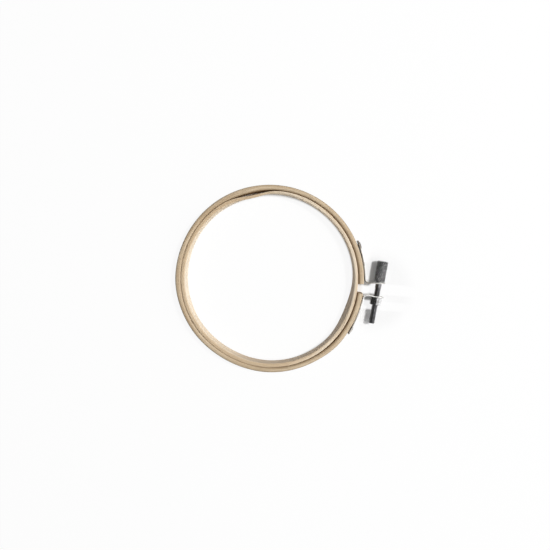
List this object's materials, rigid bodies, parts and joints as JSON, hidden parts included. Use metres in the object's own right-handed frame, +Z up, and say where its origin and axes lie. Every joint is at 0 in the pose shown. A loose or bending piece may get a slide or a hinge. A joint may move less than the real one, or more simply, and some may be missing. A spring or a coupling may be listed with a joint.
{
  "type": "embroidery hoop",
  "caption": "Small round embroidery hoop: a closed wooden inner hoop nested in a split wooden outer hoop, closed by a knurled thumb screw through riveted metal lugs.",
  "frame": {"origin": "on the rest plane, under the middle of the object's bounding box; the hoop's own centre is 6.2 mm from it, towards -X", "axes": "+Z up out of the hoop as it lies flat, +X from the hoop's centre towards the clamp, +Y from the nut towards the thumb screw's head"},
  "size_m": [0.1205, 0.1071, 0.009],
  "materials": {
    "outer_wood": "bare bamboo strip, tan, fine lengthwise fibres, dull satin",
    "inner_wood": "bare bamboo strip, pale cream, fine lengthwise fibres, dull satin",
    "bracket_metal": "bright nickel plated sheet, slightly worn",
    "rivet_metal": "nickel plated, dull",
    "screw_metal": "dark nickel, satin, diamond knurled head",
    "nut_metal": "nickel plated, bright on its flats"
  },
  "bodies": {
    "outer_hoop_assembly": {"outer_hoop": "outer_wood", "upper_bracket": "bracket_metal", "lower_bracket": "bracket_metal", "upper_near_rivet": "rivet_metal", "upper_far_rivet": "rivet_metal", "lower_near_rivet": "rivet_metal", "lower_far_rivet": "rivet_metal"},
    "inner_hoop_body": {"inner_hoop": "inner_wood"},
    "screw_body": {"clamp_screw": "screw_metal"},
    "nut_body": {"clamp_nut": "nut_metal"}
  },
  "joints": [
    {"name": "inner_hoop_lift", "type": "slide", "parent": "outer_hoop_assembly", "child": "inner_hoop_body", "axis": [0, 0, 1], "range_m": [0, 0.02]},
    {"name": "screw_turn", "type": "hinge", "parent": "outer_hoop_assembly", "child": "screw_body", "pos_m": [0.05593, 0, 0.0045], "axis": [0.0785, 0.9969, 0], "range_deg": [0, 6000]},
    {"name": "nut_travel", "type": "slide", "parent": "outer_hoop_assembly", "child": "nut_body", "axis": [-0.0785, -0.9969, 0], "range_m": [0, 0.01]}
  ],
  "couplings": [
    {"joint": "screw_turn", "follows": "nut_travel", "rad_per_m": 10472}
  ]
}
